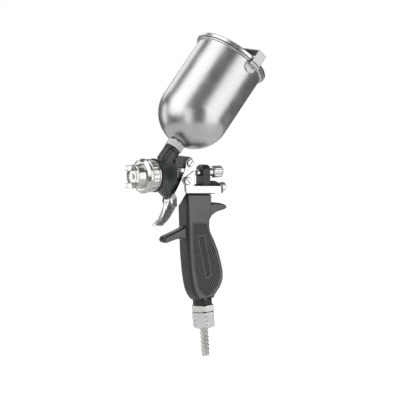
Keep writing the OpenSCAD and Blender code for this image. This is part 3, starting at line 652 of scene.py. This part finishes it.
# ---------------------------------------------------------------- air inlet
turned_part("collar_body", [(-4.4, 8), (-4.4, 10.2), (-3.7, 10.5), (-3.5, 11), (2.3, 11), (2.4, 10.6),
                            (2.4, 8)], INLET, "gun", M_BLACK, "handle_collar")
turned_part("inlet_hex", [(-20, 3.4), (-20, 5), (-11.6, 5), (-11.6, 12), (-10.6, 13.7), (-5.4, 13.7),
                          (-4.4, 12), (-4.4, 8), (8.5, 8), (8.5, 3.4)],
            INLET, "gun", M_STEEL, "inlet_nut", 0.2, 144, hexagon(13.6, 3), True, 0.35)
swivel_prof = fine(round_off([(-30.9, 3), (-30.9, 9.6), (-30.2, 11.6), (-28.6, 13), (-27.3, 14.5),
                              (-14.2, 14.5), (-12.45, 12.4), (-12.45, 5.05), (-22, 5.05), (-22, 3)],
                             0.2), 0.4)
swivel = mesh_object("swivel_hex", *revolve(swivel_prof, 144, radius=hexagon(13.7, 3), closed=True,
                                            start=radians(3)), INLET)
pit = revolve([(0, 0), (0, 0.95), (2.6, 1.05), (2.6, 0)], 20)
cut(swivel, [moved(pit, rz(10 + 60 * i) @ at(11.9, 0, z) @ ry(90))
             for i in range(6) for z in (-26, -21.5, -16.5)])
settle(swivel, "swivel", M_STEEL, ["swivel_body"])

barbs = [(-30.9, 2.6), (-30.9, 4.2)]
for i in range(6):
    z = -31.4 - 4.7 * i
    barbs += [(z, 3.7), (z - 0.5, 4.95), (z - 1.3, 4.95), (z - 4.3, 3.7)]
barbs += [(-59.6, 4.2), (-63.4, 4.2), (-63.4, 2.6)]
turned_part("tail_barbs", barbs, INLET, "swivel", M_NICKEL, "hose_tail")

# ---------------------------------------------------------------- textured grip panels
PANEL = [(1, -63.2), (4, -64.4), (11.6, -61.6), (18.4, -54), (22.6, -46), (23.4, -40), (22.2, -29),
         (16.2, -10), (11.6, 1), (7.9, 9.2), (4.3, 20.6), (-15.8, 22), (-15.0, -8.2), (-12.7, -33),
         (-8.2, -54)]
BADGE = [(2.8, -44), (11.4, -40.4), (1.0, 7.0), (-9.3, 6.2)]
HANDLE_SIDE = 10.5                      # half the width of the handle where the panels sit
PANEL_FOOT = 10.22                      # where the panels' rims end, inside the handle
PITCH = 2.7                             # size of one diamond of the relief
GRID = 0.36                             # spacing of the mesh points under the relief

def inset(pts, d):
    """a closed outline moved inwards by d"""
    out = []
    n = len(pts)
    for i in range(n):
        p0, p, p1 = Vector(pts[i - 1]), Vector(pts[i]), Vector(pts[(i + 1) % n])
        a, b = (p1 - p).normalized(), (p - p0).normalized()
        m = Vector((a.y + b.y, -a.x - b.x)).normalized()
        out.append(p - m * d)
    return out

def loop_round(pts, r):
    """a closed outline with rounded corners"""
    pts = [Vector(p) for p in pts]
    mid = (pts[-1] + pts[0]) / 2
    return round_off([mid] + pts + [mid], r, 4)[:-1]

def dist(p, loop):
    """distance from p to a closed outline"""
    best = 1e9
    n = len(loop)
    for i in range(n):
        a, b = loop[i], loop[(i + 1) % n]
        ab = b - a
        t = max(0.0, min(1.0, (p - a).dot(ab) / ab.length_squared))
        best = min(best, (p - a - ab * t).length)
    return best

def inside(p, loop):
    """whether p is within a closed outline"""
    hit = False
    n = len(loop)
    for i in range(n):
        a, b = loop[i], loop[(i + 1) % n]
        if (a.y > p.y) != (b.y > p.y) and p.x < (b.x - a.x) * (p.y - a.y) / (b.y - a.y) + a.x:
            hit = not hit
    return hit

def relief_height(p, outer, core, badge):
    """height of the panel's face at p: a raised border, a strip with a raised edge, and small diamonds"""
    d = dist(p, outer)
    if d < 0.92:
        return 0.42 * min(1, max(0, d / 0.17))
    if d < 1.25 or not inside(p, core):
        return 0.42 - 0.36 * min(1, max(0, (d - 0.92) / 0.22))
    b = dist(p, badge)
    if inside(p, badge):
        return 0.38 if b < 0.75 else 0.38 - 0.2 * min(1, (b - 0.75) / 0.2)
    if b < 0.3:
        return 0.38 - 0.3 * b / 0.3
    u = (p.x * 0.9 + p.y * 0.55) / PITCH
    w = (p.x * 0.9 - p.y * 0.55) / PITCH
    return 0.04 + 0.34 * (abs((u % 1) - 0.5) * 2 + abs((w % 1) - 0.5) * 2) / 2

def grip_panel():
    """the panel's outer face as one mesh, with points along each line of its relief"""
    outer = loop_round(inset(PANEL, 0.08), 3)
    lines = [outer] + [loop_round(inset(PANEL, d), 3) for d in (0.25, 1.0, 1.25)]
    badge = loop_round(BADGE, 1.0)
    rims = [badge, loop_round(inset(BADGE, -0.3), 1.0)]
    pts, edges, edge_loops = [], [], []
    for loop in lines + rims:
        loop = fine(loop + [loop[0]], 0.8)[:-1]
        ids = list(range(len(pts), len(pts) + len(loop)))
        pts += [Vector(p) for p in loop]
        edges += list(zip(ids, ids[1:] + ids[:1]))
        edge_loops.append(ids)
    core = [Vector(p) for p in lines[3]]
    z, k = -65.0, 0
    while z < 23:
        x = -17.0 + (k % 2) * GRID / 2
        i = 0
        while x < 24.5:
            p = Vector((x, z))
            if inside(p, core) and dist(p, core) > 0.2:
                if not (inside(p, badge) and dist(p, badge) > 0.6 and (k % 4 or i % 4)):
                    pts.append(p)
            x += GRID
            i += 1
        z += GRID * 0.87
        k += 1
    v2, _, f2, _, _, _ = delaunay_2d_cdt(pts, edges, edge_loops[:1], 1, 1e-5)
    top = [(p.x, -HANDLE_SIDE - relief_height(p, outer, core, badge), p.y) for p in v2]
    return top, [tuple(f) for f in f2]

def add_panel(name, flip, node):
    """the panel with its rim folded down into the handle"""
    v, f = PANEL_MESH
    ob = mesh_object(name, [(x, y * flip, z) for x, y, z in v], f, Matrix.Identity(4))
    bm = bmesh.new()
    bm.from_mesh(ob.data)
    rim = [e for e in bm.edges if e.is_boundary]
    new = bmesh.ops.extrude_edge_only(bm, edges=rim)["geom"]
    for q in new:
        if isinstance(q, bmesh.types.BMVert):
            q.co.y = -PANEL_FOOT * flip * MM
    bmesh.ops.contextual_create(bm, geom=[e for e in bm.edges if e.is_boundary])
    bmesh.ops.recalc_face_normals(bm, faces=bm.faces)
    bm.to_mesh(ob.data)
    bm.free()
    settle(ob, "gun", M_PANEL, [node], weighted=False)

PANEL_MESH = grip_panel()
add_panel("panel_left", 1, "grip_panel_left")
add_panel("panel_right", -1, "grip_panel_right")

# ---------------------------------------------------------------- trigger: two cheeks and a finger pull
CHEEK = [(-25.4, 90.6), (-26.2, 86), (-28.6, 79.6), (-32, 72.2), (-36.1, 65.1), (-39.4, 60), (-42.2, 55.6),
         (-43.6, 51.8), (-44.4, 48), (-43.4, 44), (-41, 41.6), (-38, 41.4), (-34.4, 44.6), (-25.6, 56.7),
         (-20.6, 60), (-19.6, 64), (-19.4, 77.5), (-15.8, 80.6), (-15.1, 87)]
TOP_R = 5.2                             # radius of the cheek's round top, about the pivot
CHEEK += [(PIVOT[0] + TOP_R * cos(radians(a)), PIVOT[1] + TOP_R * sin(radians(a)))
          for a in range(0, 171, 17)]
CHEEK_Y = 11.6                          # middle of a cheek
CHEEK_HALF = 0.8                        # half its thickness

def cheek(flip):
    """a plate with no holes that bends in by up to 2.8 mm at its front, towards the pull"""
    outline = [Vector(p) for p in fine(CHEEK + [CHEEK[0]], 0.8)[:-1]]
    pts = list(outline)
    z = 40.5
    while z < 95:
        x = -47.0
        while x < -14:
            q = Vector((x, z))
            if inside(q, outline) and dist(q, outline) > 0.5:
                pts.append(q)
            x += 1.1
        z += 1.1
    n = len(outline)
    ids = list(range(n))
    v2, _, f2, _, _, _ = delaunay_2d_cdt(pts, list(zip(ids, ids[1:] + ids[:1])), [ids], 1, 1e-5)
    mids = [CHEEK_Y - 2.8 * ease((60 - q.y) / 12) * ease((-37.5 - q.x) / 6) for q in v2]
    v = [(q.x, flip * (y + half), q.y) for half in (CHEEK_HALF, -CHEEK_HALF) for q, y in zip(v2, mids)]
    m = len(v2)
    f = [tuple(q) for q in f2] + [tuple(i + m for i in reversed(q)) for q in f2]
    sides = dict.fromkeys((q[i], q[(i + 1) % len(q)]) for q in f2 for i in range(len(q)))
    f += [(b, a, a + m, b + m) for a, b in sides if (b, a) not in sides]
    return v, f

# stations of the pull from the top down: height, x, depth from there to the front, half width, and how far
# its two edges flare back from there
PULL = [(49.6, -40.2, 6.4, 9.2, 2), (47.6, -40.0, 7.2, 9, 2.6), (44, -39.8, 7.8, 8.5, 3),
        (40, -40.6, 8, 8.0, 3.2), (36, -42, 8, 7.7, 2.2), (32.5, -44, 8, 7.5, 1.6), (29, -46.4, 8, 7.4, 1.6),
        (26, -49.4, 8, 7.4, 1.9), (23.8, -52.2, 8, 7.4, 1.9), (22.2, -54.2, 7.8, 7.2, 1.9),
        (20.9, -55.4, 6.9, 6.8, 1.7), (20.1, -55.4, 5.0, 5.8, 1.2), (19.7, -54.8, 2.6, 3.8, 0.6)]
PULL_WALL = 2.2                         # wall of the channel, thicker towards the tip

def between(stations, parts):
    """rows on a smooth curve through the stations, with parts rows from one to the next"""
    last = len(stations) - 1
    rows = []
    for i in range(last * parts + 1):
        k = min(i // parts, last - 1)
        t = i / parts - k
        near = (stations[max(0, min(last, k + j))] for j in (-1, 0, 1, 2))
        rows.append([0.5 * (2 * b + (c - a) * t + (2 * a - 5 * b + 4 * c - d) * t * t
                            + (3 * b - a - 3 * c + d) * t ** 3) for a, b, c, d in zip(*near)])
    return rows

def pull():
    """a channel, open behind, that is lofted down the stations and fills up towards its tip"""
    rows = between(PULL, 4)
    turns = [k / 12 for k in range(-12, 13)]
    n = 2 * len(turns)
    verts, faces = [], []
    for i, (z, xc, depth, half, flare) in enumerate(rows):
        wall = PULL_WALL + max(0, i - len(rows) + 14) * 0.5
        deep_in, half_in = max(0.3, depth - wall), max(0.3, half - wall)
        back = xc + flare
        verts += [(back - (depth + flare) * (1 - abs(a) ** 2.35), half * a, z) for a in turns]
        verts += [(back - (deep_in + flare) * (1 - abs(a) ** 2.35), half_in * a, z) for a in turns[::-1]]
    for i in range(len(rows) - 1):
        for j in range(n):
            k = (j + 1) % n
            faces.append((i * n + j, i * n + k, (i + 1) * n + k, (i + 1) * n + j))
    h = n // 2
    e = (len(rows) - 1) * n
    for j in range(h - 1):
        faces.append((j, j + 1, n - 2 - j, n - 1 - j))
        faces.append((e + n - 1 - j, e + n - 2 - j, e + j + 1, e + j))
    return verts, faces

trig = mesh_object("trigger_body", *joined(cheek(1), cheek(-1), pull()), Matrix.Identity(4))
bevelled(trig, 0.3, 3, 50)
settle(trig, "trigger", M_SHEET, ["trigger"])

# ---------------------------------------------------------------- stage
FLOOR_Z = START[0][2] - 0.0006
FLOOR_R = 0.62
GLOW, GLOW_UNSEEN = 0.8, 0.3

def floor_paint():
    """white paint that glows mostly for the camera, so the object keeps its dark undersides"""
    color = (0.93, 0.93, 0.93)
    m = Mat("floor_paint", color, 0.7)
    m.b.inputs["Emission Color"].default_value = (1, 1, 1, 1)
    seen = m.add("ShaderNodeLightPath").outputs["Is Camera Ray"]
    m.link(m.math("MULTIPLY_ADD", seen, GLOW - GLOW_UNSEEN, GLOW_UNSEEN), m.b.inputs["Emission Strength"])
    n = m.noise(m.at, 3, 2, 0.5)
    return m.put(Base_Color=m.mix(n, tuple(c * 0.985 for c in color), color))

def floor():
    turns = [2 * pi * i / 128 for i in range(128)]
    me = bpy.data.meshes.new("floor")
    me.from_pydata([(FLOOR_R * cos(t), FLOOR_R * sin(t), FLOOR_Z) for t in turns], [], [tuple(range(128))])
    ob = bpy.data.objects.new("floor", me)
    scene.collection.objects.link(ob)
    me.materials.append(floor_paint())

def room():
    """a pale room: white behind the object, and much dimmer where only reflections look"""
    world = bpy.data.worlds.new("studio")
    scene.world = world
    world.use_nodes = True
    nodes, link = world.node_tree.nodes, world.node_tree.links.new
    seen = nodes["Background"]
    seen.inputs[0].default_value = (1, 1, 1, 1)
    seen.inputs[1].default_value = 1.0
    ramp = nodes.new("ShaderNodeValToRGB")
    low, high = ramp.color_ramp.elements
    low.position, high.position = 0.0, 1.0
    low.color = (0.09, 0.09, 0.09, 1)
    high.color = (0.17, 0.17, 0.17, 1)
    ramp.color_ramp.elements.new(0.5).color = (0.10, 0.102, 0.102, 1)
    way = nodes.new("ShaderNodeSeparateXYZ")
    link(nodes.new("ShaderNodeTexCoord").outputs["Generated"], way.inputs[0])
    up = nodes.new("ShaderNodeMath")
    up.operation = "MULTIPLY_ADD"
    up.inputs[1].default_value = 0.5
    up.inputs[2].default_value = 0.5
    reflected = nodes.new("ShaderNodeBackground")
    both = nodes.new("ShaderNodeMixShader")
    link(way.outputs[2], up.inputs[0])
    link(up.outputs[0], ramp.inputs[0])
    link(ramp.outputs[0], reflected.inputs[0])
    link(nodes.new("ShaderNodeLightPath").outputs["Is Camera Ray"], both.inputs[0])
    link(reflected.outputs[0], both.inputs[1])
    link(seen.outputs[0], both.inputs[2])
    link(both.outputs[0], nodes["World Output"].inputs[0])

floor()
room()
scene.view_settings.view_transform = "Standard"

LIT = Vector((0, 0, 0.1))               # the point that every lamp faces

def lamp(name, way, dist, w, h, radiance, matt=True):
    """a soft box in direction way from LIT; w is level, h upright; with matt off it is only reflected"""
    d = bpy.data.lights.new(name, "AREA")
    d.shape = "RECTANGLE"
    d.size, d.size_y = w, h
    d.energy = radiance * pi * w * h
    ob = bpy.data.objects.new(name, d)
    scene.collection.objects.link(ob)
    ob.location = LIT + Vector(way).normalized() * dist
    ob.rotation_euler = (-Vector(way)).to_track_quat("-Z", "Y").to_euler()
    ob.visible_camera = False
    ob.visible_diffuse = matt

lamp("box_left", (-0.80, 0.10, 0.58), 1.6, 1.7, 2.4, 1.5, matt=False)
lamp("box_low", (-0.82, -0.57, -0.05), 1.6, 0.6, 1.2, 1.3, matt=False)
lamp("box_right", (0.42, -0.90, 0.06), 1.6, 1.45, 1.8, 1.35)
lamp("box_front", (-0.57, 0.81, -0.02), 1.5, 0.55, 0.9, 1.3, matt=False)
lamp("box_top", (0.1, 0.2, 1.0), 1.8, 0.9, 0.9, 1.2)
lamp("box_back", (0.2, 1.0, 0.5), 1.8, 1.4, 0.8, 1.2)
